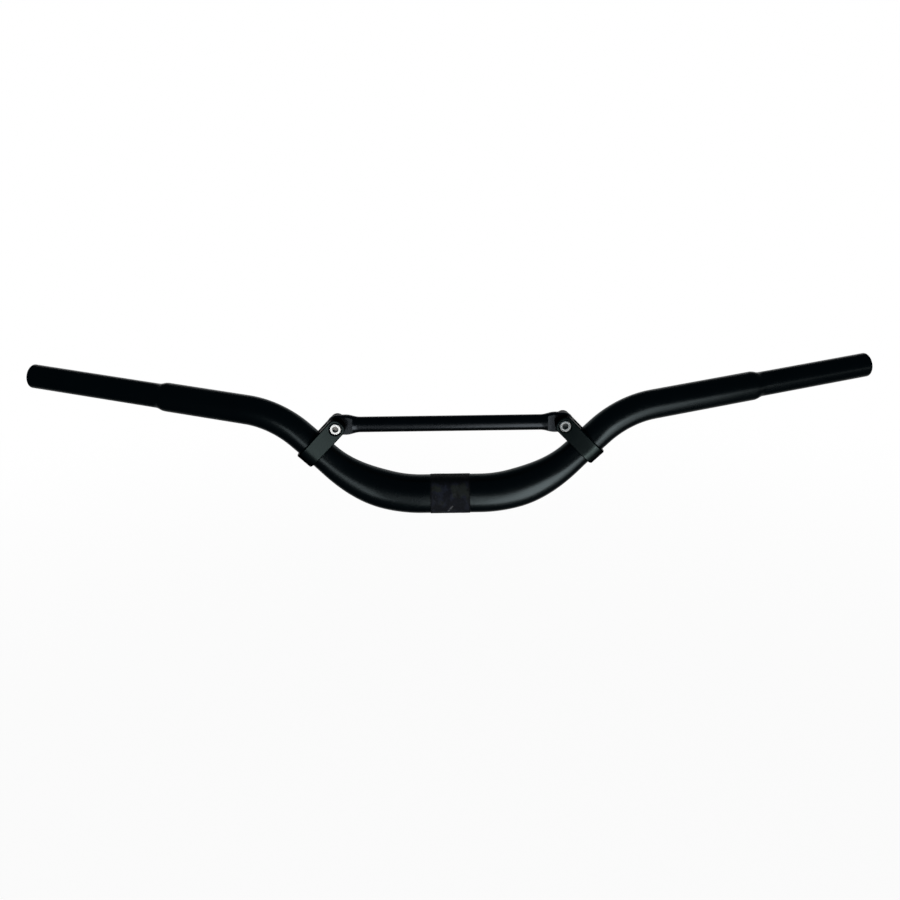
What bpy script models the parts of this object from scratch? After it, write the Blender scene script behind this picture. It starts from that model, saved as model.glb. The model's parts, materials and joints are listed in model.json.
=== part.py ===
"""Motocross handlebar: a tapered, bent tube braced by a crossbar in two bolted clamps.

The origin is the middle of the clamping section, on the tube's axis. +X runs to the clutch side,
+Z is up, and the grips sweep back towards +Y. Lengths are in metres.
"""

import math

import bmesh
import bpy
from mathutils import Matrix, Vector

# Handlebar tube. The overall width is between the centres of its end faces.
OVERALL_WIDTH = 0.775
CENTRE_DIAMETER = 0.0350
ARM_DIAMETER = 0.0262
GRIP_DIAMETER = 0.0222
TUBE_WALL = 0.0030
CENTRE_STRAIGHT = 0.052
FULL_DIAMETER_LENGTH = 0.116
RISE_BEND_RADIUS = 0.1177
RISE_ANGLE = math.radians(43.75)
RISE_STRAIGHT = 0.0347
SWEEP_BEND_RADIUS = 0.0769
BACKSWEEP = math.radians(14.0)
UPSWEEP = math.radians(5.76)
THROTTLE_GRIP_LENGTH = 0.129
CLUTCH_GRIP_LENGTH = 0.110
STEP_LENGTH = 0.008
END_CHAMFER = 0.0006

# Crossbar: a turned rod that flares to two round ends with milled flats.
ROD_DIAMETER = 0.0138
EYE_DIAMETER = 0.0180
EYE_THICKNESS = 0.0100
FLAT_LENGTH = 0.0140
FLARE_LENGTH = 0.0120
FLARE_END = 0.0080

# Crossbar clamps: a band round the arm that rises as two ears.
CLAMP_WIDTH = 0.0158
BAND_WALL = 0.0026
PIVOT_REACH = 0.0292
EAR_END = 0.0073
EAR_CORNER = 0.0065
REAR_EAR = 0.0050
CLAMP_CHAMFER = 0.0008

# Clamp bolts and nuts
SHANK_DIAMETER = 0.0060
SHANK_LENGTH = 0.0250
HEAD_DIAMETER = 0.0100
HEAD_HEIGHT = 0.0060
HEAD_CHAMFER = 0.0006
HEAD_SINK = 0.0004
SOCKET_ACROSS_FLATS = 0.0050
SOCKET_DEPTH = 0.0030
TIP_CHAMFER = 0.0008
NUT_ACROSS_FLATS = 0.0100
NUT_HEIGHT = 0.0050
NUT_COLLAR_HEIGHT = 0.0012
NUT_COLLAR_DIAMETER = 0.0086
NUT_SINK = 0.0012

# Cloth tape round the middle of the clamping section
TAPE_WIDTH = 0.0355
TAPE_THICKNESS = 0.0004
TAPE_LAP_ANGLE = math.radians(40.0)
TAPE_LAP_PLACE = math.radians(70.0)
TAPE_END_SLOPE = math.radians(1.0)

# Clearances: between pieces that meet, and round a bolt head in its pocket
FIT_GAP = 0.0003
HEAD_GAP = 0.0007

# Facets
TUBE_SIDES = 32
ROD_SIDES = 32
BOLT_SIDES = 32
BEND_STEP = math.radians(4.2)
TAPER_STEP = 0.008
CURVE_STEPS = 8
SMOOTH_ANGLE = math.radians(30.0)
CHAMFER_ANGLE = math.radians(35.0)
SAME_POINT = 1e-7
SAME_PLACE = 1e-6

ACROSS = Vector((1.0, 0.0, 0.0))
BACK = Vector((0.0, 1.0, 0.0))
UP = Vector((0.0, 0.0, 1.0))
SIDES = {"throttle_side": -1, "clutch_side": 1}


def smooth(share):
    """A share from 0 to 1 that starts and ends level."""
    share = min(max(share, 0.0), 1.0)
    return share * share * (3.0 - 2.0 * share)


def material(name, colour, roughness, metallic):
    made = bpy.data.materials.new(name)
    made.use_nodes = True
    shader = made.node_tree.nodes["Principled BSDF"]
    shader.inputs["Base Color"].default_value = (*colour, 1.0)
    shader.inputs["Roughness"].default_value = roughness
    shader.inputs["Metallic"].default_value = metallic
    return made


def new_object(name, mesh):
    made = bpy.data.objects.new(name, mesh)
    bpy.context.scene.collection.objects.link(made)
    return made


def object_from(name, bm):
    bmesh.ops.recalc_face_normals(bm, faces=bm.faces)
    mesh = bpy.data.meshes.new(name)
    bm.to_mesh(mesh)
    bm.free()
    return new_object(name, mesh)


def skin(name, rings):
    """A closed body whose surface runs from ring to ring and from the last back to the first."""
    bm = bmesh.new()
    loops = [[bm.verts.new(point) for point in ring] for ring in rings]
    for loop, following in zip(loops, loops[1:] + loops[:1]):
        for i in range(len(loop)):
            j = (i + 1) % len(loop)
            bm.faces.new((loop[i], loop[j], following[j], following[i]))
    return object_from(name, bm)


def turned(name, profile, sides, along=UP):
    """A body turned about an axis from (distance along it, radius) points that start and end on it."""
    bm = bmesh.new()
    beside = along.orthogonal().normalized()
    points = [bm.verts.new(along * distance + beside * radius) for distance, radius in profile]
    edges = [bm.edges.new(pair) for pair in zip(points, points[1:])]
    bmesh.ops.spin(
        bm, geom=points + edges, cent=(0, 0, 0), axis=along, angle=2 * math.pi, steps=sides
    )
    bmesh.ops.remove_doubles(bm, verts=bm.verts, dist=SAME_POINT)
    return object_from(name, bm)


def prism(name, outline, right, up, low, high):
    """A flat outline of (right, up) points, extruded along right x up from low to high."""
    along = right.cross(up)
    bm = bmesh.new()
    corners = [bm.verts.new(right * x + up * y + along * low) for x, y in outline]
    face = bm.faces.new(corners)
    grown = bmesh.ops.extrude_face_region(bm, geom=[face])
    moved = [item for item in grown["geom"] if isinstance(item, bmesh.types.BMVert)]
    bmesh.ops.translate(bm, verts=moved, vec=along * (high - low))
    return object_from(name, bm)


def arc(centre, radius, start, end, steps):
    """Points of a circular arc from one angle to another, both ends included."""
    angles = [start + (end - start) * i / steps for i in range(steps + 1)]
    return [(centre[0] + radius * math.cos(a), centre[1] + radius * math.sin(a)) for a in angles]


def hexagon(across_flats, first_corner=0.0):
    corner = across_flats / 2 / math.cos(math.pi / 6)
    return arc((0, 0), corner, first_corner, first_corner + 2 * math.pi, 6)[:-1]


def box(name, low, high):
    outline = [(low[0], low[1]), (high[0], low[1]), (high[0], high[1]), (low[0], high[1])]
    return prism(name, outline, ACROSS, BACK, low[2], high[2])


def apply_modifiers(obj):
    depsgraph = bpy.context.evaluated_depsgraph_get()
    mesh = bpy.data.meshes.new_from_object(obj.evaluated_get(depsgraph))
    obj.modifiers.clear()
    obj.data = mesh


def combine(obj, operation, tool):
    """Cuts or intersects an object with a tool, which is then removed."""
    modifier = obj.modifiers.new(operation.lower(), "BOOLEAN")
    modifier.operation = operation
    modifier.solver = "EXACT"
    modifier.object = tool
    apply_modifiers(obj)
    bpy.data.objects.remove(tool)


def chamfer(obj, width):
    """A narrow flat along every edge that turns by more than the facets of a round surface."""
    modifier = obj.modifiers.new("chamfer", "BEVEL")
    modifier.width = width
    modifier.segments = 1
    modifier.limit_method = "ANGLE"
    modifier.angle_limit = CHAMFER_ANGLE
    apply_modifiers(obj)


def finish(obj, paint):
    obj.data.materials.clear()
    obj.data.materials.append(paint)
    obj.data.shade_smooth()
    obj.data.set_sharp_from_angle(angle=SMOOTH_ANGLE)
    return obj


def straight(start, direction, length):
    """A straight stretch: its length, and the point and direction at a distance along it."""
    return length, lambda distance: (start + direction * distance, direction)


def bend(start, direction, new_direction, radius):
    """A bend of one radius that turns one direction into another, in the same form as a straight."""
    axis = direction.cross(new_direction).normalized()
    centre = start + axis.cross(direction) * radius

    def place(distance):
        turn = Matrix.Rotation(distance / radius, 3, axis)
        return centre + turn @ (start - centre), turn @ direction

    return direction.angle(new_direction) * radius, place


class Centreline:
    """The clutch side's half of the tube's axis. The throttle side's half is its mirror image."""

    def __init__(self):
        rise = Vector((math.cos(RISE_ANGLE), 0.0, math.sin(RISE_ANGLE)))
        level = math.cos(UPSWEEP)
        grip = Vector(
            (level * math.cos(BACKSWEEP), level * math.sin(BACKSWEEP), math.sin(UPSWEEP))
        )
        self.stretches = []
        self.length = 0.0
        self.add(straight(Vector(), ACROSS, CENTRE_STRAIGHT / 2))
        self.add(bend(self.end()[0], ACROSS, rise, RISE_BEND_RADIUS))
        self.clamp_station = self.length + RISE_STRAIGHT / 2
        self.add(straight(self.end()[0], rise, RISE_STRAIGHT))
        self.add(bend(self.end()[0], rise, grip, SWEEP_BEND_RADIUS))
        point = self.end()[0]
        self.add(straight(point, grip, (OVERALL_WIDTH / 2 - point.x) / grip.x))

    def add(self, stretch):
        length, place = stretch
        self.stretches.append((self.length, length, place))
        self.length += length

    def end(self):
        return self.at(self.length)

    def at(self, distance):
        """The point and the direction at a distance from the middle."""
        for start, length, place in reversed(self.stretches):
            if distance >= start:
                return place(min(distance - start, length))
        return Vector(), ACROSS

    def marks(self):
        return [start for start, length, place in self.stretches] + [self.length]

    def bend_radius(self, distance):
        """The bend's radius at a distance, or None on a straight."""
        bends = {1: RISE_BEND_RADIUS, 3: SWEEP_BEND_RADIUS}
        for number, (start, length, place) in enumerate(self.stretches):
            if start < distance < start + length:
                return bends.get(number)
        return None


def tube_stations(line, step_end):
    """Distances at which the tube has a ring, closer together in its bends and its taper."""
    taper_start = FULL_DIAMETER_LENGTH / 2
    taper_end = line.clamp_station - CLAMP_WIDTH / 2
    marks = line.marks() + [taper_start, taper_end, step_end - STEP_LENGTH, step_end]
    marks = sorted(marks + [line.length - END_CHAMFER])
    stations = [marks[0]]
    for low, high in zip(marks, marks[1:]):
        if high - low < SAME_PLACE:
            continue
        middle = (low + high) / 2
        radius = line.bend_radius(middle)
        pitch = radius * BEND_STEP if radius else high - low
        if taper_start < middle < taper_end:
            pitch = min(pitch, TAPER_STEP)
        count = math.ceil((high - low - SAME_PLACE) / pitch)
        stations += [low + (high - low) * (i + 1) / count for i in range(count)]
    return stations


def tube_radius(line, distance, step_end):
    """The outer radius: full in the middle, a long taper to the arm and a short step to the grip."""
    taper_start = FULL_DIAMETER_LENGTH / 2
    taper_end = line.clamp_station - CLAMP_WIDTH / 2
    taper = smooth((distance - taper_start) / (taper_end - taper_start))
    step = min(max((distance - step_end) / STEP_LENGTH + 1.0, 0.0), 1.0)
    arm = CENTRE_DIAMETER + (ARM_DIAMETER - CENTRE_DIAMETER) * taper
    return (arm + (GRIP_DIAMETER - ARM_DIAMETER) * step) / 2


def ring(point, direction, radius, sides):
    beside = (BACK - direction * direction.dot(BACK)).normalized()
    above = direction.cross(beside)
    angles = [2 * math.pi * i / sides for i in range(sides)]
    return [point + (beside * math.cos(a) + above * math.sin(a)) * radius for a in angles]


def handlebar_tube(line, paint):
    """Rings along the outer surface from end to end, then back along the bore."""
    outer = []
    inner = []
    for side, grip_length in ((-1, THROTTLE_GRIP_LENGTH), (1, CLUTCH_GRIP_LENGTH)):
        step_end = line.length - grip_length
        half = []
        for distance in tube_stations(line, step_end):
            point, direction = line.at(distance)
            if side < 0:
                point = Vector((-point.x, point.y, point.z))
                direction = Vector((direction.x, -direction.y, -direction.z))
            radius = tube_radius(line, distance, step_end)
            cut = END_CHAMFER if distance > line.length - END_CHAMFER / 2 else 0.0
            outside = ring(point, direction, radius - cut, TUBE_SIDES)
            bore = ring(point, direction, radius - TUBE_WALL, TUBE_SIDES)
            half.append((outside, bore))
        if side < 0:
            half = half[:0:-1]
        outer += [outside for outside, bore in half]
        inner += [bore for outside, bore in half]
    return finish(skin("handlebar_tube", outer + inner[::-1]), paint)


def crossbar(pivot, paint):
    """A turned bar with ball ends, milled flat on both faces and drilled for the clamp bolts."""
    rod = ROD_DIAMETER / 2
    eye = EYE_DIAMETER / 2
    half = []
    for i in range(CURVE_STEPS + 1):
        share = i / CURVE_STEPS
        place = pivot.x - FLARE_END - FLARE_LENGTH * (1.0 - share)
        half.append((place, rod + (eye - rod) * smooth(share)))
    half += arc((pivot.x, 0.0), eye, math.pi / 2, 0.0, CURVE_STEPS)[:-1]
    half.append((pivot.x + eye, 0.0))
    profile = [(-place, radius) for place, radius in half[::-1]] + half
    bar = turned("crossbar", profile, ROD_SIDES, ACROSS)
    reach = EYE_DIAMETER
    for side in SIDES.values():
        ends = sorted((side * (pivot.x - FLAT_LENGTH), side * (pivot.x + reach)))
        for face in (-1, 1):
            depths = sorted((face * EYE_THICKNESS / 2, face * reach))
            tool = box("flat", (ends[0], depths[0], -reach), (ends[1], depths[1], reach))
            combine(bar, "DIFFERENCE", tool)
        hole = bolt_hole(SHANK_DIAMETER / 2 + FIT_GAP, reach)
        hole.location = (side * pivot.x, 0.0, 0.0)
        bpy.context.view_layer.update()
        combine(bar, "DIFFERENCE", hole)
    bar.location = (0.0, 0.0, pivot.z)
    return finish(bar, paint)


def bolt_hole(radius, reach):
    """A round cutter along the bolt's axis, from one side of the piece to the other."""
    profile = [(-reach, 0.0), (-reach, radius), (reach, radius), (reach, 0.0)]
    return turned("hole", profile, BOLT_SIDES, BACK)


def clamp_face():
    """How far the ears' outer faces stand from the tube's axis: flush with the band."""
    return ARM_DIAMETER / 2 + FIT_GAP + BAND_WALL


def head_seat():
    """The place of the bolt head's underside, in front of the crossbar's middle plane."""
    return clamp_face() - HEAD_SINK - HEAD_HEIGHT


def nut_seat():
    """The place of the nut's inner face, behind the crossbar's middle plane."""
    return clamp_face() - NUT_SINK - NUT_HEIGHT - NUT_COLLAR_HEIGHT


def clamp_mesh():
    """One machined strap: x along the arm, y to the back, and z from the arm's axis to the bolt."""
    face = clamp_face()
    half = CLAMP_WIDTH / 2
    top = PIVOT_REACH + EAR_END
    slot = EYE_THICKNESS / 2 + FIT_GAP
    rear = slot + REAR_EAR
    section = arc((0.0, 0.0), face, math.pi, 2 * math.pi + math.acos(rear / face), 4 * CURVE_STEPS)
    section += [(rear, 2 * top), (-face, 2 * top)]
    strap = prism("clamp", section, BACK, UP, -CLAMP_WIDTH, CLAMP_WIDTH)
    outline = [(-half, -2 * face), (half, -2 * face)]
    corner = (half - EAR_CORNER, top - EAR_CORNER)
    outline += arc(corner, EAR_CORNER, 0.0, math.pi / 2, CURVE_STEPS)
    outline += arc((-corner[0], corner[1]), EAR_CORNER, math.pi / 2, math.pi, CURVE_STEPS)
    combine(strap, "INTERSECT", prism("outline", outline, ACROSS, UP, -2 * face, 2 * face))
    chamfer(strap, CLAMP_CHAMFER)
    arm = ARM_DIAMETER / 2 + FIT_GAP
    profile = [(-face, 0.0), (-face, arm), (face, arm), (face, 0.0)]
    combine(strap, "DIFFERENCE", turned("bore", profile, TUBE_SIDES, ACROSS))
    combine(strap, "DIFFERENCE", box("slot", (-face, -slot, 0.0), (face, slot, 2 * top)))
    shank = SHANK_DIAMETER / 2 + FIT_GAP
    head = HEAD_DIAMETER / 2 + HEAD_GAP
    rim = CLAMP_CHAMFER / 2
    profile = [
        (-2 * face, 0.0),
        (-2 * face, head + rim + face),
        (-face, head + rim),
        (-face + rim, head),
        (-head_seat() + FIT_GAP, head),
        (-head_seat() + FIT_GAP, shank),
        (2 * face, shank),
        (2 * face, 0.0),
    ]
    pocket = turned("pocket", profile, BOLT_SIDES, BACK)
    pocket.location = (0.0, 0.0, PIVOT_REACH)
    bpy.context.view_layer.update()
    combine(strap, "DIFFERENCE", pocket)
    seat = nut_seat() - FIT_GAP
    hexagon_pocket = hexagon(NUT_ACROSS_FLATS + 2 * FIT_GAP)
    nut_pocket = prism("nut_pocket", hexagon_pocket, UP, ACROSS, seat, 2 * face)
    nut_pocket.location = (0.0, 0.0, PIVOT_REACH)
    bpy.context.view_layer.update()
    combine(strap, "DIFFERENCE", nut_pocket)
    mesh = strap.data
    bpy.data.objects.remove(strap)
    return mesh


def bolt_mesh():
    """A socket head cap screw: +Z towards its head, with its origin at the crossbar's middle plane."""
    shank = SHANK_DIAMETER / 2
    head = HEAD_DIAMETER / 2
    seat = head_seat()
    top = seat + HEAD_HEIGHT
    tip = seat - SHANK_LENGTH
    profile = [
        (top, 0.0),
        (top, head - HEAD_CHAMFER),
        (top - HEAD_CHAMFER, head),
        (seat, head),
        (seat, shank),
        (tip + TIP_CHAMFER, shank),
        (tip, shank - TIP_CHAMFER),
        (tip, 0.0),
    ]
    screw = turned("bolt", profile, BOLT_SIDES)
    outline = hexagon(SOCKET_ACROSS_FLATS)
    combine(screw, "DIFFERENCE", prism("socket", outline, ACROSS, BACK, top - SOCKET_DEPTH, 2 * top))
    mesh = screw.data
    bpy.data.objects.remove(screw)
    return mesh


def nut_mesh():
    """A lock nut in the bolt's frame: a hexagon with chamfered corners and a round collar behind it."""
    inner = -nut_seat()
    outer = inner - NUT_HEIGHT
    corner = NUT_ACROSS_FLATS / 2 / math.cos(math.pi / 6)
    flat = NUT_ACROSS_FLATS / 2
    bevel = (corner - flat) / 2
    outline = hexagon(NUT_ACROSS_FLATS, math.pi / 2)
    blank = prism("nut", outline, ACROSS, BACK, outer, inner)
    profile = [
        (inner, 0.0),
        (inner, flat),
        (inner - bevel, corner),
        (outer + bevel, corner),
        (outer, flat),
        (outer, 0.0),
    ]
    combine(blank, "INTERSECT", turned("corners", profile, BOLT_SIDES))
    collar = NUT_COLLAR_DIAMETER / 2
    back = outer - NUT_COLLAR_HEIGHT
    profile = [
        (outer + bevel, 0.0),
        (outer + bevel, collar),
        (back + bevel, collar),
        (back, collar - bevel),
        (back, 0.0),
    ]
    combine(blank, "UNION", turned("collar", profile, BOLT_SIDES))
    bore = SHANK_DIAMETER / 2 + FIT_GAP
    profile = [(2 * back, 0.0), (2 * back, bore), (0.0, bore), (0.0, 0.0)]
    combine(blank, "DIFFERENCE", turned("thread", profile, BOLT_SIDES))
    mesh = blank.data
    bpy.data.objects.remove(blank)
    return mesh


def centre_tape(paint):
    """One turn of cloth tape whose end laps over its start, at the back of the tube."""
    inside = CENTRE_DIAMETER / 2 + FIT_GAP
    lap_start = TAPE_LAP_PLACE
    lap_end = TAPE_LAP_PLACE + TAPE_LAP_ANGLE
    slope = TAPE_END_SLOPE
    angles = [2 * math.pi * i / TUBE_SIDES for i in range(TUBE_SIDES)]
    angles = sorted(angles + [lap_start, lap_start + slope, lap_end, lap_end + slope])
    rings = []
    half = TAPE_WIDTH / 2
    for place, outside in ((-half, False), (-half, True), (half, True), (half, False)):
        points = []
        for angle in angles:
            lapped = lap_start + slope / 2 < angle < lap_end + slope / 2
            layers = 2 if lapped else 1
            radius = inside + (TAPE_THICKNESS * layers if outside else 0.0)
            points.append(Vector((place, radius * math.cos(angle), radius * math.sin(angle))))
        rings.append(points)
    return finish(skin("centre_tape", rings), paint)


def build():
    for old in list(bpy.data.objects):
        bpy.data.objects.remove(old)
    anodised = material("anodised_tube", (0.012, 0.013, 0.015), 0.42, 1.0)
    machined = material("anodised_machined", (0.016, 0.017, 0.020), 0.34, 1.0)
    stainless = material("stainless_steel", (0.78, 0.78, 0.76), 0.22, 1.0)
    zinc = material("zinc_plated_steel", (0.55, 0.56, 0.57), 0.35, 1.0)
    cloth = material("cloth_tape", (0.014, 0.015, 0.018), 0.85, 0.0)

    line = Centreline()
    seat, direction = line.at(line.clamp_station)
    pivot = seat + Vector((-direction.z, 0.0, direction.x)) * PIVOT_REACH

    handlebar_tube(line, anodised)
    crossbar(pivot, machined)
    centre_tape(cloth)
    strap = clamp_mesh()
    screw = bolt_mesh()
    nut = nut_mesh()
    for name, side in SIDES.items():
        clamp = finish(new_object("clamp_" + name, strap), machined)
        clamp.location = (side * seat.x, seat.y, seat.z)
        clamp.rotation_euler = (0.0, -side * RISE_ANGLE, 0.0)
        for piece, mesh, paint in (("bolt_", screw, stainless), ("nut_", nut, zinc)):
            fastener = finish(new_object(piece + name, mesh), paint)
            fastener.location = (side * pivot.x, pivot.y, pivot.z)
            fastener.rotation_euler = (math.pi / 2, -side * RISE_ANGLE, 0.0)


build()
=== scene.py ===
"""Motocross handlebar: finishes, finer tube and tape, stage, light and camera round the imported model.

The row's frame is used throughout, in metres: the origin is the middle of the clamping section, +X runs
to the clutch side, +Y back to the rider and +Z up.
"""

import json
import math
import random

import bmesh
import bpy
from mathutils import Matrix, Quaternion, Vector, noise

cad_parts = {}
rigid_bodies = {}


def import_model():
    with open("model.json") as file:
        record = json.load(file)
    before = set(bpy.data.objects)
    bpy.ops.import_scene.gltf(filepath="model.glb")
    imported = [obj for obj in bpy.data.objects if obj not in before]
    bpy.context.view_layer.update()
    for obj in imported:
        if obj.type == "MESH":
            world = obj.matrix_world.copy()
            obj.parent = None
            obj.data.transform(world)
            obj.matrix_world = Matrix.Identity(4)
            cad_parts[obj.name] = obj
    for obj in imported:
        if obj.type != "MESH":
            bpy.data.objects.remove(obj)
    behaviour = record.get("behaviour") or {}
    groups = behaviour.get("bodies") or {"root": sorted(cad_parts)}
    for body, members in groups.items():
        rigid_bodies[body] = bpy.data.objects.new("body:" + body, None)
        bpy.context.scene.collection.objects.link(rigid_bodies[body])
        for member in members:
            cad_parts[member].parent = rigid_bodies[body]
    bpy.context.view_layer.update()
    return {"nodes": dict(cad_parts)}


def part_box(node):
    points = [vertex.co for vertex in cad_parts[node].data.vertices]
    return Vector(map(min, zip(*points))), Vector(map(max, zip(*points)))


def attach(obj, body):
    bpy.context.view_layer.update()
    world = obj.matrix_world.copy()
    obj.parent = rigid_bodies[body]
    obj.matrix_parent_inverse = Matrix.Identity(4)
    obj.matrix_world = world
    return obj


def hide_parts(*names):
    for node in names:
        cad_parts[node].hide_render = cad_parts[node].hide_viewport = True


# Handlebar tube. The overall width is between the centres of its end faces.
OVERALL_WIDTH = 0.775
CENTRE_DIAMETER = 0.0350
ARM_DIAMETER = 0.0262
GRIP_DIAMETER = 0.0222
TUBE_WALL = 0.0030
CENTRE_STRAIGHT = 0.052
FULL_DIAMETER_LENGTH = 0.116
RISE_BEND_RADIUS = 0.1177
RISE_ANGLE = math.radians(43.75)
RISE_STRAIGHT = 0.0347
SWEEP_BEND_RADIUS = 0.0769
BACKSWEEP = math.radians(14.0)
UPSWEEP = math.radians(5.76)
THROTTLE_GRIP_LENGTH = 0.129
CLUTCH_GRIP_LENGTH = 0.110
STEP_LENGTH = 0.008
CLAMP_WIDTH = 0.0158
RIM_ROUNDING = 0.0006
RIM_TURNS = (30.0, 60.0, 90.0)
TUBE_SIDES = 96
TUBE_RING_PITCH = 0.0025

# Cloth tape: one turn and a lap, which is at the back of the tube
TAPE_WIDTH = 0.0352
TAPE_OFFSET = -0.0008
TAPE_THICKNESS = 0.0003
TAPE_GAP = 0.0001
TAPE_LAP_ANGLE = math.radians(40.0)
TAPE_LAP_PLACE = math.radians(-20.0)
TAPE_RAMP_ANGLE = 1.5 * TAPE_LAP_ANGLE
TAPE_ROWS = 72
TAPE_COLUMNS = 300

# Surface of the tape: creases, uneven cut edges, soft waves and a fine weave
CREASES = 26
CREASE_SEED = 11
CREASE_SLOPE_SPREAD = 0.9
CREASE_REACH = (0.006, 0.022)
CREASE_SHARES = (0.35, 1.0)
CREASE_HEIGHT = 0.00014
CREASE_WIDTH = 0.0007
EDGE_WANDER = 0.0004
WANDER_ACROSS = 2.0
WANDER_AROUND = 9.0
WANDER_SLICE = 5.0
WAVE_HEIGHT = 0.00006
WAVES_PER_METRE = 220.0
THREAD_PITCH = 0.0009

# Painted light and shade on the tape: the way that its painted lit side faces, back and up, how the
# painted light fades round the tube and towards the cut edges, and a scuff
LIT_SIDE = (-0.94, -0.34)
LIT_SIDE_FADE = (0.003, 0.011)
CUT_EDGE_DARKENING = (0.0156, 0.0172)
SCUFF_MIDDLE = (-0.0008, 0.0, -0.0090)
SCUFF_SLOPE = math.radians(58.0)
SCUFF_LENGTH = 0.0104
SCUFF_WIDTH = 0.0026

# Edges: how the machined pieces and the fasteners are rounded, and where a skin stays sharp
EDGE_ROUNDING = 0.00012
SHARP_ANGLE = math.radians(30.0)
SKIN_SHARP_ANGLE = math.radians(50.0)
SAME_POINT = 0.000001

# Screw heads: turning marks, in radians per metre out from the axis, and the socket's shade
TURNING_MARKS = 9000.0
SOCKET_SHADE_RADII = (0.0024, 0.0031)

# Black anodising brightens at a glancing angle less than a bare metal does
ANODISED_EDGE = (0.50, 0.50, 0.50, 1.0)
MILLED_EDGE = (0.15, 0.15, 0.15, 1.0)

# Colours. A pair holds the two ends that clouds, stains or smears run between.
BLASTED_BLACK = ((0.0140, 0.0170, 0.0178), (0.0185, 0.0220, 0.0228))
HANDLED_BLACK = (0.030, 0.033, 0.036)
TURNED_BLACK = ((0.014, 0.016, 0.018), (0.019, 0.021, 0.023))
MILLED_BLACK = ((0.0140, 0.0185, 0.0180), (0.0200, 0.0260, 0.0250))
STAINLESS = ((0.58, 0.57, 0.55), (0.74, 0.73, 0.70))
SOCKET_SHADE = (0.10, 0.09, 0.08)
ZINC = ((0.50, 0.52, 0.56), (0.62, 0.60, 0.53))
# Cloth colours with painted light and shade: painted shade on the top, painted light with blue and green
# patches on the front, wear patches that show only on the lit front, and a scuff
SHADED_TOP_CLOTH = (0.0010, 0.0016, 0.0024)
LIT_FRONT_CLOTH = ((0.0105, 0.0135, 0.0235), (0.0135, 0.0170, 0.0160))
WORN_AND_LIT_CLOTH = (0.034, 0.038, 0.044)
SCUFFED_CLOTH = (0.100, 0.104, 0.112)

# Camera, fitted to the photograph
CAMERA_DISTANCE = 0.814
CAMERA_ELEVATION = math.radians(17.5)
CAMERA_ROLL = math.radians(-0.79)
CAMERA_SHIFT = (0.00104, -0.03906)
SENSOR_WIDTH = 36.0
FOCAL_LENGTH = 36.0

# Floor and surroundings
WHITE = (1.0, 1.0, 1.0, 1.0)
BLACK = (0.0, 0.0, 0.0, 1.0)
WORLD_LEVEL = 0.45
FLOOR_HEIGHT = -0.66
FLOOR_SIZE = 40.0
FLOOR_COLOUR = (0.86, 0.86, 0.86, 1.0)
FLOOR_FADE = (0.6, 3.0)
FLOOR_WHITE_SHARE = 0.93

# Softboxes: name, place, width and height, brightness of the face, and turn in degrees
KEY_SOFTBOX = ("key", (-0.5, -0.9, 1.5), (1.4, 1.4), 1.2, 0.0)
GLOSS_SOFTBOXES = (
    ("low_right", (0.215, -0.490, -0.280), (0.34, 0.58), 6.6, 2.0),
    ("low_side", (0.440, -0.370, -0.200), (0.26, 0.50), 3.2, 0.0),
    ("low_left", (-0.226, -0.530, -0.165), (0.13, 0.42), 4.0, 0.0),
    ("rear", (0.0, 1.15, 0.46), (2.6, 0.20), 2.6, 0.0),
)

# Black cards: name, place, width and height, and the point that the card faces
ORIGIN = (0.0, 0.0, 0.0)
CARD_GLOW = (0.03, 0.07, 0.10, 1.0)
BLACK_CARDS = (
    ("card_front", (0.0, -2.2, 0.6), (6.0, 2.6), ORIGIN),
    ("card_left", (-1.6, -0.6, 0.2), (3.2, 3.0), ORIGIN),
    ("card_right", (2.2, -0.6, 0.8), (3.2, 2.2), ORIGIN),
    ("card_above", (0.0, -1.0, 1.85), (5.0, 2.4), ORIGIN),
    ("card_over", (0.0, 0.9, 1.9), (5.0, 2.2), ORIGIN),
    ("card_below", (0.0, -1.1, -0.58), (5.0, 2.9), (0.0, -1.1, 0.0)),
    ("card_ear", (0.120, -0.067, 0.041), (0.049, 0.060), (0.111, -0.010, 0.058)),
)

ACROSS = Vector((1.0, 0.0, 0.0))
BACK = Vector((0.0, 1.0, 0.0))


def smooth(share):
    """A share from 0 to 1 that starts and ends level."""
    share = min(max(share, 0.0), 1.0)
    return share * share * (3.0 - 2.0 * share)


def new_object(name, data):
    """An object of its own in the scene, from a mesh, a lamp or a camera."""
    made = bpy.data.objects.new(name, data)
    bpy.context.scene.collection.objects.link(made)
    return made


class Wire:
    """A node's output. An expression on wires and numbers adds the nodes that work it out."""

    def __init__(self, socket):
        self.socket = socket

    def worked(self, operation, first, second=None):
        """A Math node, or a Vector Math node where a term is a vector."""
        terms = [term for term in (first, second) if term is not None]
        vector = any(isinstance(term, Wire) and term.socket.type == "VECTOR" for term in terms)
        kind = "ShaderNodeVectorMath" if vector else "ShaderNodeMath"
        values = dict(enumerate(terms))
        return new_node(self.socket.id_data, kind, {"operation": operation}, values)

    def __add__(self, other):
        return self.worked("ADD", self, other)

    def __radd__(self, other):
        return self.worked("ADD", other, self)

    def __sub__(self, other):
        return self.worked("SUBTRACT", self, other)

    def __rsub__(self, other):
        return self.worked("SUBTRACT", other, self)

    def __mul__(self, other):
        return self.worked("MULTIPLY", self, other)

    def __rmul__(self, other):
        return self.worked("MULTIPLY", other, self)

    def absolute(self):
        return self.worked("ABSOLUTE", self)

    def sine(self):
        return self.worked("SINE", self)

    def largest(self, other):
        return self.worked("MAXIMUM", self, other)

    def length(self):
        made = self.worked("LENGTH", self)
        return Wire(made.socket.node.outputs["Value"])

    def axis(self, name):
        """One coordinate of a vector."""
        return new_node(self.socket.id_data, "ShaderNodeSeparateXYZ", {}, {0: self}, name)


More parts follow.
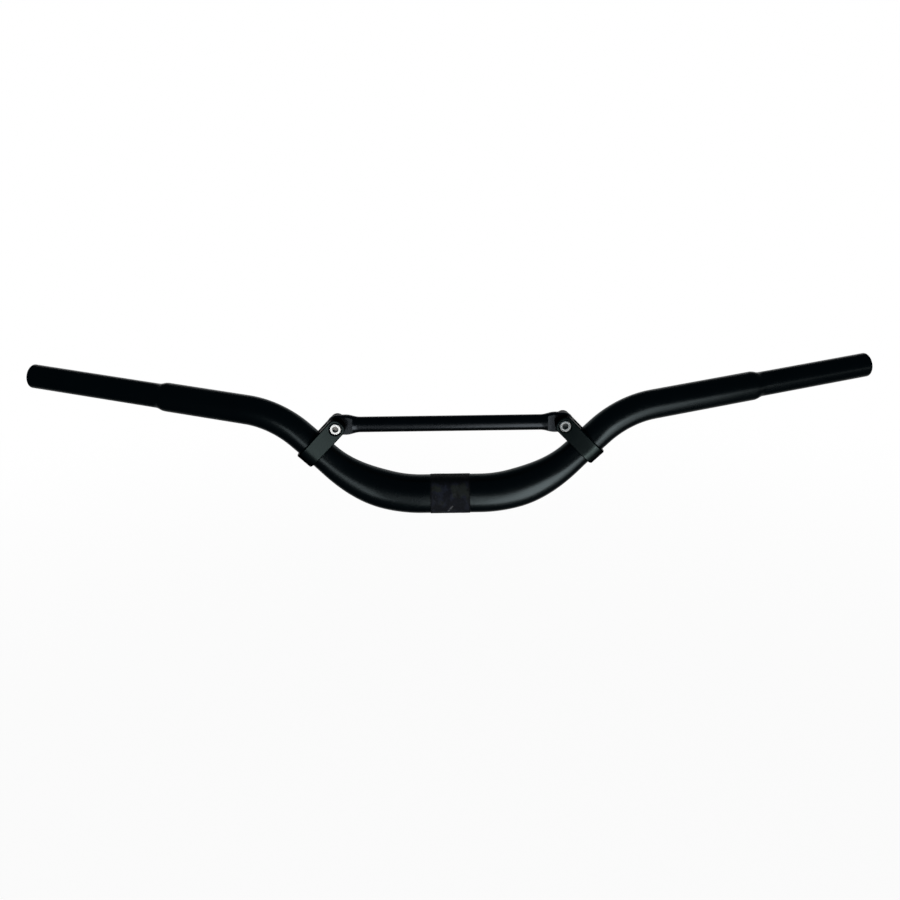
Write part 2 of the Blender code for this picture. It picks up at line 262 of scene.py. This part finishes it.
def new_node(tree, kind, settings, values, output=0):
    """A node with its settings, then the values or wires of its sockets, as a wire from one output."""
    made = tree.nodes.new(kind)
    for name, value in settings.items():
        setattr(made, name, value)
    for name, value in values.items():
        if isinstance(value, Wire):
            tree.links.new(value.socket, made.inputs[name])
        else:
            made.inputs[name].default_value = value
    return Wire(made.outputs[output])


class Finish:
    """A material in the making, with the Principled shader's even values given by name."""

    def __init__(self, name, **even):
        self.material = bpy.data.materials.new(name)
        self.material.use_nodes = True
        self.tree = self.material.node_tree
        self.shader = self.tree.nodes["Principled BSDF"]
        for key, value in even.items():
            self.shader.inputs[key.replace("_", " ")].default_value = value

    def node(self, kind, settings=None, values=None, output=0):
        return new_node(self.tree, kind, settings or {}, values or {}, output)

    def place(self):
        """The place on the object, in metres."""
        return self.node("ShaderNodeTexCoord", output="Object")

    def noise(self, place, scale, detail=2.0, roughness=0.5):
        values = {"Vector": place, "Scale": scale, "Detail": detail, "Roughness": roughness}
        return self.node("ShaderNodeTexNoise", {}, values)

    def rise(self, value, low, high):
        """A mask that goes smoothly from 0 at low to 1 at high."""
        values = {"Value": value, "From Min": low, "From Max": high}
        return self.node("ShaderNodeMapRange", {"interpolation_type": "SMOOTHSTEP"}, values)

    def blend(self, mask, first, second):
        """A colour between two, given as colours or wires."""
        ends = [end if isinstance(end, Wire) else (*end, 1.0) for end in (first, second)]
        values = {0: mask, 6: ends[0], 7: ends[1]}
        return self.node("ShaderNodeMix", {"data_type": "RGBA"}, values, 2)

    def feed(self, name, wire):
        """Links a wire to one of the shader's sockets."""
        self.tree.links.new(wire.socket, self.shader.inputs[name])

    def colour(self, wire):
        self.feed("Base Color", wire)

    def roughness(self, wire):
        self.feed("Roughness", wire)

    def relief(self, height, depth):
        """Raises the surface by a height from 0 to 1, times a depth in metres."""
        self.feed("Normal", self.node("ShaderNodeBump", {}, {"Height": height, "Distance": depth}))


def blasted_anodising():
    """The tube: black anodising over a fine blasted grain, with faint clouds and handling marks."""
    finish = Finish("blasted_black_anodising", Metallic=1.0, Specular_Tint=ANODISED_EDGE)
    place = finish.place()
    grain = finish.noise(place, 2600.0, 3.0, 0.6)
    clouds = finish.noise(place, 24.0, 4.0)
    marks = finish.rise(finish.noise(place, 150.0, 6.0, 0.7), 0.62, 0.78)
    dark = finish.blend(clouds, *BLASTED_BLACK)
    finish.colour(finish.blend(marks * 0.4, dark, HANDLED_BLACK))
    finish.roughness(0.24 + clouds * 0.08 + marks * 0.05)
    finish.relief(grain, 0.00003)
    return finish.material


def turned_anodising():
    """The crossbar: smoother black anodising over fine lathe rings."""
    finish = Finish("turned_black_anodising", Metallic=1.0, Specular_Tint=ANODISED_EDGE)
    place = finish.place()
    rings = finish.noise(place * (1.0, 0.03, 0.03), 3200.0, 3.0, 0.6)
    clouds = finish.noise(place, 40.0, 3.0)
    finish.colour(finish.blend(clouds, *TURNED_BLACK))
    finish.roughness(0.22 + clouds * 0.08 + rings * 0.04)
    finish.relief(rings, 0.00002)
    return finish.material


def milled_anodising():
    """The clamps: black anodising over cutter marks and a light tumbled grain."""
    finish = Finish("milled_black_anodising", Metallic=1.0, Specular_Tint=MILLED_EDGE)
    place = finish.place()
    grain = finish.noise(place, 1500.0, 4.0, 0.6)
    passes = finish.noise(place * (1.0, 0.2, 0.08), 900.0, 2.0)
    clouds = finish.noise(place, 60.0, 4.0)
    finish.colour(finish.blend(clouds, *MILLED_BLACK))
    finish.roughness(0.24 + clouds * 0.10 + grain * 0.05)
    finish.relief(grain * 0.6 + passes * 0.4, 0.00003)
    return finish.material


def turned_stainless(axis_x, axis_z):
    """The screws: bright stainless steel with faint turning marks and a shaded socket."""
    finish = Finish("turned_stainless_steel", Metallic=1.0)
    place = finish.place()
    across = place.axis("X").absolute() - axis_x
    up = place.axis("Z") - axis_z
    from_axis = finish.node("ShaderNodeCombineXYZ", {}, {"X": across, "Z": up}).length()
    rings = (from_axis * TURNING_MARKS).sine()
    stain = finish.noise(place, 420.0, 4.0)
    in_socket = 1.0 - finish.rise(from_axis, *SOCKET_SHADE_RADII)
    finish.colour(finish.blend(in_socket * 0.85, finish.blend(stain, *STAINLESS), SOCKET_SHADE))
    finish.roughness(0.37 + stain * 0.10 + rings * 0.015)
    finish.relief(stain, 0.000003)
    return finish.material


def zinc_plate():
    """The nuts: zinc plate with a faint warm and cool cast."""
    finish = Finish("zinc_plate", Metallic=1.0)
    place = finish.place()
    cast = finish.noise(place, 300.0, 4.0)
    grain = finish.noise(place, 2400.0, 3.0)
    finish.colour(finish.blend(cast, *ZINC))
    finish.roughness(0.30 + grain * 0.15)
    finish.relief(grain, 0.00001)
    return finish.material


def plain_weave(finish, place):
    """The height, from 0 to 1, of a plain weave that is wrapped round the tube."""
    thread = 2.0 * math.pi / THREAD_PITCH
    back_and_up = {0: place.axis("Z"), 1: place.axis("Y")}
    angle = finish.node("ShaderNodeMath", {"operation": "ARCTAN2"}, back_and_up)
    warp = (place.axis("X") * thread).sine()
    weft = (angle * (thread * CENTRE_DIAMETER / 2)).sine()
    return warp * weft * 0.5 + 0.5


def scuff_mask(finish, place):
    """A short slanted scuff, full along its middle and broken up by the cloth."""
    near = place - SCUFF_MIDDLE
    run = math.cos(SCUFF_SLOPE)
    climb = math.sin(SCUFF_SLOPE)
    along = near.axis("X") * run + near.axis("Z") * climb
    beside = near.axis("X") * climb - near.axis("Z") * run
    lengthwise = 1.0 - finish.rise(along.absolute(), SCUFF_LENGTH * 0.3, SCUFF_LENGTH / 2)
    sideways = 1.0 - finish.rise(beside.absolute(), SCUFF_WIDTH * 0.1, SCUFF_WIDTH / 2)
    broken = finish.rise(finish.noise(place, 480.0, 3.0), 0.38, 0.54)
    return lengthwise * sideways * broken


def cloth_tape_finish():
    """Black cloth tape: a plain weave, with painted shade that keeps the top blackest and painted light
    over the front, where it is smeared, has wear patches and is scuffed.
    """
    finish = Finish("black_cloth_tape", Metallic=0.0, Specular_IOR_Level=0.08)
    place = finish.place()
    wear = finish.noise(place, 170.0, 6.0, 0.65)
    # Painted light: the side that faces front and down is lightened, and the top keeps the darkest
    # colour as painted shade
    forward = place.axis("Y") * LIT_SIDE[0] + place.axis("Z") * LIT_SIDE[1]
    front = finish.rise(forward, *LIT_SIDE_FADE)
    from_middle = (place.axis("X") - TAPE_OFFSET).absolute()
    # The painted light fades towards the cut edges, so these are darker
    inside = 1.0 - finish.rise(from_middle, *CUT_EDGE_DARKENING) * 0.7
    smears = finish.rise(finish.noise(place * (1.0, 0.7, 0.7), 130.0, 5.0, 0.6), 0.42, 0.58)
    greenish = finish.rise(finish.noise(place, 75.0, 2.0), 0.50, 0.60)
    lit_front_colour = finish.blend(greenish, *LIT_FRONT_CLOTH)
    lit_and_shaded = finish.blend(front * inside * (smears * 0.7 + 0.3), SHADED_TOP_CLOTH, lit_front_colour)
    # Wear patches, which show only on the painted lit front
    worn_and_lit = finish.blend(finish.rise(wear, 0.56, 0.74) * front * 0.6, lit_and_shaded, WORN_AND_LIT_CLOTH)
    finish.colour(finish.blend(scuff_mask(finish, place) * front, worn_and_lit, SCUFFED_CLOTH))
    finish.roughness(0.72 + wear * 0.2)
    finish.relief(plain_weave(finish, place) * 0.4 + wear * 0.6, 0.00012)
    return finish.material


def soft_edges():
    """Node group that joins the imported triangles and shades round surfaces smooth."""
    group = bpy.data.node_groups.new("soft_edges", "GeometryNodeTree")
    group.interface.new_socket("Geometry", in_out="INPUT", socket_type="NodeSocketGeometry")
    group.interface.new_socket("Geometry", in_out="OUTPUT", socket_type="NodeSocketGeometry")
    mesh = new_node(group, "NodeGroupInput", {}, {})
    angle = new_node(group, "GeometryNodeInputMeshEdgeAngle", {}, {})
    turns = {0: angle, 1: SHARP_ANGLE}
    rounded = new_node(group, "FunctionNodeCompare", {"operation": "LESS_THAN"}, turns)
    steps = (
        ("GeometryNodeMergeByDistance", {}, {"Distance": SAME_POINT}),
        ("GeometryNodeRemoveAttribute", {}, {"Name": "custom_normal"}),
        ("GeometryNodeSetShadeSmooth", {"domain": "EDGE"}, {"Shade Smooth": rounded}),
        ("GeometryNodeSetShadeSmooth", {"domain": "FACE"}, {"Shade Smooth": True}),
    )
    for kind, settings, values in steps:
        mesh = new_node(group, kind, settings, {"Geometry": mesh, **values})
    output = group.nodes.new("NodeGroupOutput")
    group.links.new(mesh.socket, output.inputs[0])
    return group


def dress(node, rounding, material):
    """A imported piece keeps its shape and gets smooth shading, finely rounded edges and its finish."""
    joined = node.modifiers.new("joined", "NODES")
    joined.node_group = rounding
    rounded = node.modifiers.new("rounded_edges", "BEVEL")
    rounded.width = EDGE_ROUNDING
    rounded.segments = 2
    rounded.limit_method = "ANGLE"
    rounded.angle_limit = SHARP_ANGLE
    rounded.harden_normals = True
    for slot in node.material_slots:
        slot.material = material


def machined_pieces(nodes):
    """The crossbar, the clamps and their fasteners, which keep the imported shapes."""
    rounding = soft_edges()
    low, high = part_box("bolt_clutch_side")
    screw_steel = turned_stainless((low.x + high.x) / 2, (low.z + high.z) / 2)
    milled_black = milled_anodising()
    zinc = zinc_plate()
    dress(nodes["crossbar"], rounding, turned_anodising())
    for side in ("throttle_side", "clutch_side"):
        dress(nodes["clamp_" + side], rounding, milled_black)
        dress(nodes["bolt_" + side], rounding, screw_steel)
        dress(nodes["nut_" + side], rounding, zinc)


def straight(start, direction, length):
    """A straight stretch: its length, and the point and direction at a distance along it."""
    return length, lambda distance: (start + direction * distance, direction)


def bend(start, direction, new_direction, radius):
    """A bend of one radius that turns one direction into another, in the same form as a straight."""
    axis = direction.cross(new_direction).normalized()
    centre = start + axis.cross(direction) * radius

    def place(distance):
        turn = Matrix.Rotation(distance / radius, 3, axis)
        return centre + turn @ (start - centre), turn @ direction

    return direction.angle(new_direction) * radius, place


class Centreline:
    """The clutch side's half of the tube's axis. The throttle side's half is its mirror image."""

    def __init__(self):
        rise = Vector((math.cos(RISE_ANGLE), 0.0, math.sin(RISE_ANGLE)))
        level = math.cos(UPSWEEP)
        grip = Vector((level * math.cos(BACKSWEEP), level * math.sin(BACKSWEEP), math.sin(UPSWEEP)))
        self.stretches = []
        self.length = 0.0
        self.add(straight(Vector(), ACROSS, CENTRE_STRAIGHT / 2))
        self.add(bend(self.end(), ACROSS, rise, RISE_BEND_RADIUS))
        self.clamp_station = self.length + RISE_STRAIGHT / 2
        self.add(straight(self.end(), rise, RISE_STRAIGHT))
        self.add(bend(self.end(), rise, grip, SWEEP_BEND_RADIUS))
        point = self.end()
        self.add(straight(point, grip, (OVERALL_WIDTH / 2 - point.x) / grip.x))

    def add(self, stretch):
        length, place = stretch
        self.stretches.append((self.length, length, place))
        self.length += length

    def end(self):
        return self.at(self.length)[0]

    def at(self, distance):
        """The point and the direction at a distance from the middle."""
        for start, length, place in reversed(self.stretches):
            if distance >= start:
                return place(min(distance - start, length))
        return Vector(), ACROSS


def tube_radius(line, distance, step_end):
    """The outer radius: full in the middle, a long taper to the arm and a short step to the grip."""
    taper_start = FULL_DIAMETER_LENGTH / 2
    taper_end = line.clamp_station - CLAMP_WIDTH / 2
    taper = smooth((distance - taper_start) / (taper_end - taper_start))
    step = smooth((distance - step_end) / STEP_LENGTH + 1.0)
    arm = CENTRE_DIAMETER + (ARM_DIAMETER - CENTRE_DIAMETER) * taper
    return (arm + (GRIP_DIAMETER - ARM_DIAMETER) * step) / 2


def ring(point, direction, radius):
    """Points of a circle round the tube's axis, from the back upwards."""
    beside = (BACK - direction * direction.dot(BACK)).normalized()
    above = direction.cross(beside)
    angles = [2 * math.pi * i / TUBE_SIDES for i in range(TUBE_SIDES)]
    return [point + (beside * math.cos(a) + above * math.sin(a)) * radius for a in angles]


def half_tube(line, grip_length, mirrored):
    """Rings of the outer surface and the bore, from the middle to one rounded rim."""
    step_end = line.length - grip_length
    count = round(line.length / TUBE_RING_PITCH)
    stations = [(line.length - RIM_ROUNDING) * i / count for i in range(count + 1)]
    cuts = [0.0] * len(stations)
    for turn in RIM_TURNS:
        angle = math.radians(turn)
        stations.append(line.length - RIM_ROUNDING * (1.0 - math.sin(angle)))
        cuts.append(RIM_ROUNDING * (1.0 - math.cos(angle)))
    rings = []
    for distance, cut in zip(stations, cuts):
        point, direction = line.at(distance)
        if mirrored:
            point = Vector((-point.x, point.y, point.z))
            direction = Vector((direction.x, -direction.y, -direction.z))
        radius = tube_radius(line, distance, step_end)
        outside = ring(point, direction, radius - cut)
        bore = ring(point, direction, radius - TUBE_WALL + cut / 2)
        rings.append((outside, bore))
    return rings


def strip_end(bm, loop):
    """Closes a strip's end, whose loop runs out along one face and back along the other."""
    half = len(loop) // 2
    for i in range(half - 1):
        bm.faces.new((loop[i], loop[i + 1], loop[-2 - i], loop[-1 - i]))


def skin(name, loops, material, endless):
    """A smooth skin from loop to loop. It runs from the last to the first, or is closed at both ends."""
    bm = bmesh.new()
    rows = [[bm.verts.new(point) for point in loop] for loop in loops]
    following_rows = rows[1:] + rows[:1] if endless else rows[1:]
    for row, following in zip(rows, following_rows):
        for i in range(len(row)):
            j = (i + 1) % len(row)
            bm.faces.new((row[i], row[j], following[j], following[i]))
    if not endless:
        strip_end(bm, rows[0])
        strip_end(bm, rows[-1])
    bmesh.ops.recalc_face_normals(bm, faces=bm.faces)
    mesh = bpy.data.meshes.new(name)
    bm.to_mesh(mesh)
    bm.free()
    mesh.shade_smooth()
    mesh.set_sharp_from_angle(angle=SKIN_SHARP_ANGLE)
    mesh.materials.append(material)
    return new_object(name, mesh)


def bent_tube(material):
    """The whole tube with a fine skin, from rim to rim and back along the bore."""
    line = Centreline()
    throttle_side = half_tube(line, THROTTLE_GRIP_LENGTH, mirrored=True)
    clutch_side = half_tube(line, CLUTCH_GRIP_LENGTH, mirrored=False)
    rings = throttle_side[:0:-1] + clutch_side
    outer = [outside for outside, bore in rings]
    inner = [bore for outside, bore in rings]
    tube = skin("bent_tube", outer + inner[::-1], material, endless=True)
    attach(tube, "root")
    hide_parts("handlebar_tube")


def crease_lines():
    """Straight ridges across the tape, each from one (along, around) place to another."""
    dice = random.Random(CREASE_SEED)
    turn = math.pi * CENTRE_DIAMETER
    lines = []
    for _ in range(CREASES):
        start = Vector((dice.uniform(-0.5, 0.5) * TAPE_WIDTH, dice.uniform(0.0, turn)))
        slope = dice.gauss(0.0, CREASE_SLOPE_SPREAD)
        reach = dice.uniform(*CREASE_REACH)
        step = Vector((math.sin(slope), math.cos(slope))) * reach
        lines.append((start, start + step, dice.uniform(*CREASE_SHARES)))
    return lines


def crease_height(place, lines):
    """How far the creases raise the tape at one place, as a share of the highest."""
    height = 0.0
    for start, end, share in lines:
        along = (place - start).dot(end - start) / (end - start).length_squared
        near = start + (end - start) * min(max(along, 0.0), 1.0)
        height = max(height, share * math.exp(-(((place - near).length / CREASE_WIDTH) ** 2)))
    return height


def round_tube(place, angle, radius):
    """A point at a place along the clamping section, with its angle taken from the back upwards."""
    return Vector((place, radius * math.cos(angle), radius * math.sin(angle)))


def cloth_tape(material):
    """One turn of tape with a lap at the back, creased, waved and with uneven cut edges."""
    lines = crease_lines()
    turn = 2 * math.pi + TAPE_LAP_ANGLE
    base = CENTRE_DIAMETER / 2 + TAPE_GAP
    climb = TAPE_RAMP_ANGLE - TAPE_LAP_ANGLE
    loops = []
    for column in range(TAPE_COLUMNS + 1):
        swept = turn * column / TAPE_COLUMNS
        around = swept * CENTRE_DIAMETER / 2
        angle = TAPE_LAP_PLACE + swept
        lapped = smooth((swept - turn + TAPE_RAMP_ANGLE) / climb) * (TAPE_THICKNESS + TAPE_GAP)
        inside = []
        outside = []
        for row in range(TAPE_ROWS + 1):
            share = 2.0 * row / TAPE_ROWS - 1.0
            spot = Vector((share * WANDER_ACROSS, swept * WANDER_AROUND, WANDER_SLICE))
            ragged = noise.noise(spot) * EDGE_WANDER * abs(share)
            place = TAPE_OFFSET + share * TAPE_WIDTH / 2 + ragged
            raised = crease_height(Vector((place, around)), lines) * CREASE_HEIGHT
            wave = noise.noise(Vector((place, around, 0.0)) * WAVES_PER_METRE)
            radius = base + lapped + raised + max(wave, 0.0) * WAVE_HEIGHT
            inside.append(round_tube(place, angle, radius))
            outside.append(round_tube(place, angle, radius + TAPE_THICKNESS))
        loops.append(inside + outside[::-1])
    tape = skin("cloth_tape", loops, material, endless=False)
    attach(tape, "root")
    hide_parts("centre_tape")


def seen_directly(tree):
    """1 for the rays that see a background: from the camera, off gloss and through glass."""
    kinds = ("Is Camera Ray", "Is Glossy Ray", "Is Transmission Ray")
    camera, glossy, through = (new_node(tree, "ShaderNodeLightPath", {}, {}, kind) for kind in kinds)
    return camera.largest(glossy).largest(through)


def white_world():
    """White where it is seen, and a plain grey level where it lights the object."""
    world = bpy.data.worlds.new("studio")
    world.use_nodes = True
    background = world.node_tree.nodes["Background"]
    background.inputs["Color"].default_value = WHITE
    strength = seen_directly(world.node_tree) * (1.0 - WORLD_LEVEL) + WORLD_LEVEL
    world.node_tree.links.new(strength.socket, background.inputs["Strength"])
    bpy.context.scene.world = world


def flat_rectangle(name, width, height):
    """A flat rectangle in its own XY plane, round its origin."""
    signs = [(-1, -1), (1, -1), (1, 1), (-1, 1)]
    mesh = bpy.data.meshes.new(name)
    points = [(x * width / 2, y * height / 2, 0.0) for x, y in signs]
    mesh.from_pydata(points, [], [(0, 1, 2, 3)])
    return new_object(name, mesh)


def pale_floor():
    """A pale matt floor that fades to the white of the background and keeps the object's shadow."""
    floor = flat_rectangle("floor", FLOOR_SIZE, FLOOR_SIZE)
    floor.location.z = FLOOR_HEIGHT
    finish = Finish("pale_floor", Base_Color=FLOOR_COLOUR, Roughness=0.9)
    far = finish.rise(finish.place().length(), *FLOOR_FADE)
    white = finish.node("ShaderNodeEmission", {}, {"Color": WHITE})
    share = seen_directly(finish.tree) * (far * (1.0 - FLOOR_WHITE_SHARE) + FLOOR_WHITE_SHARE)
    matt = Wire(finish.shader.outputs[0])
    surface = finish.node("ShaderNodeMixShader", {}, {0: share, 1: matt, 2: white})
    output = finish.tree.nodes["Material Output"]
    finish.tree.links.new(surface.socket, output.inputs["Surface"])
    floor.data.materials.append(finish.material)


def facing(location, target, turn=0.0):
    """Points an object's -Z from its location to a target, then turns it about that line by degrees."""
    aim = (Vector(target) - Vector(location)).to_track_quat("-Z", "Y")
    return (aim @ Quaternion((0.0, 0.0, 1.0), math.radians(turn))).to_euler()


def black_cards():
    """Black cards that only gloss shows, as a photographer sets up round a shiny black product."""
    black = Finish("black_card", Base_Color=BLACK, Specular_IOR_Level=0.0)
    black.shader.inputs["Emission Color"].default_value = CARD_GLOW
    black.shader.inputs["Emission Strength"].default_value = 1.0
    for name, location, size, target in BLACK_CARDS:
        card = flat_rectangle(name, *size)
        card.location = location
        card.rotation_euler = facing(location, target)
        card.data.materials.append(black.material)
        card.visible_camera = False
        card.visible_diffuse = False
        card.visible_shadow = False
        card.visible_transmission = False


def softbox(name, location, size, level, turn, in_gloss=True, in_matt=True):
    """A soft rectangular light that faces the origin. Its level is the brightness of its face."""
    light = bpy.data.lights.new(name, "AREA")
    light.shape = "RECTANGLE"
    light.size = size[0]
    light.size_y = size[1]
    light.energy = level * size[0] * size[1] * math.pi
    lamp = new_object(name, light)
    lamp.location = location
    lamp.rotation_euler = facing(location, ORIGIN, turn)
    lamp.visible_camera = False
    lamp.visible_glossy = in_gloss
    lamp.visible_diffuse = in_matt


def studio():
    """A soft key for the matt light, softboxes for the highlights, and black cards for the rest."""
    white_world()
    pale_floor()
    softbox(*KEY_SOFTBOX, in_gloss=False)
    for values in GLOSS_SOFTBOXES:
        softbox(*values, in_matt=False)
    black_cards()


def photo_camera():
    """The camera at the photograph's place: in front, a little above, and turned by its small roll."""
    data = bpy.data.cameras.new("photo_camera")
    data.sensor_width = SENSOR_WIDTH
    data.lens = FOCAL_LENGTH
    look = Vector((0.0, math.cos(CAMERA_ELEVATION), -math.sin(CAMERA_ELEVATION)))
    above = ACROSS.cross(look)
    right = ACROSS * math.cos(CAMERA_ROLL) + above * math.sin(CAMERA_ROLL)
    up = above * math.cos(CAMERA_ROLL) - ACROSS * math.sin(CAMERA_ROLL)
    place = -look * CAMERA_DISTANCE - right * CAMERA_SHIFT[0] - up * CAMERA_SHIFT[1]
    camera = new_object("photo_camera", data)
    turn = Matrix((right, up, -look)).transposed().to_4x4()
    camera.matrix_world = Matrix.Translation(place) @ turn
    bpy.context.scene.camera = camera


for old in list(bpy.data.objects):
    bpy.data.objects.remove(old)
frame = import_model()

photo_camera()
machined_pieces(frame["nodes"])
bent_tube(blasted_anodising())
cloth_tape(cloth_tape_finish())
studio()
bpy.context.scene.view_settings.view_transform = "Standard"
